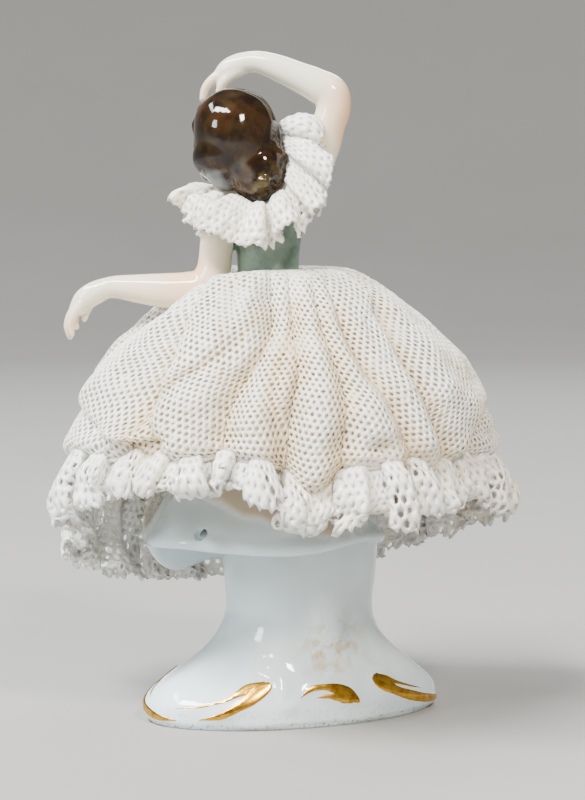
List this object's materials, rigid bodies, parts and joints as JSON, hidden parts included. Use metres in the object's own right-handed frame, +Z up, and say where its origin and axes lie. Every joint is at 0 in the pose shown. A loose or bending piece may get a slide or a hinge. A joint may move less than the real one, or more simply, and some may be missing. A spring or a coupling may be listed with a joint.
{
  "type": "dresden lace figurine",
  "caption": "Porcelain dancer in a net lace gown with ruffled collar and hem flounce, one arm curved over the tilted head, on a flared oval foot.",
  "frame": {"origin": "centre of the flat underside of the oval foot", "axes": "+Z up; -Y is the dancer's back, the side towards the camera in the picture; +Y the way the gown's front faces; +X to the right in the picture, the side of the raised arm"},
  "size_m": [0.086, 0.0817, 0.1201],
  "materials": {
    "glazed_porcelain": "glossy clear glaze over cool white porcelain, with painted brown hair, pale green bodice, blushed skin and gilt scrolls",
    "lace_porcelain": "fired porcelain lace, ivory white with a thin satin glaze"
  },
  "bodies": {
    "root": {"porcelain_figure": "glazed_porcelain", "net_overskirt": "lace_porcelain", "lace_flounce": "lace_porcelain", "lace_collar": "lace_porcelain"}
  },
  "joints": []
}
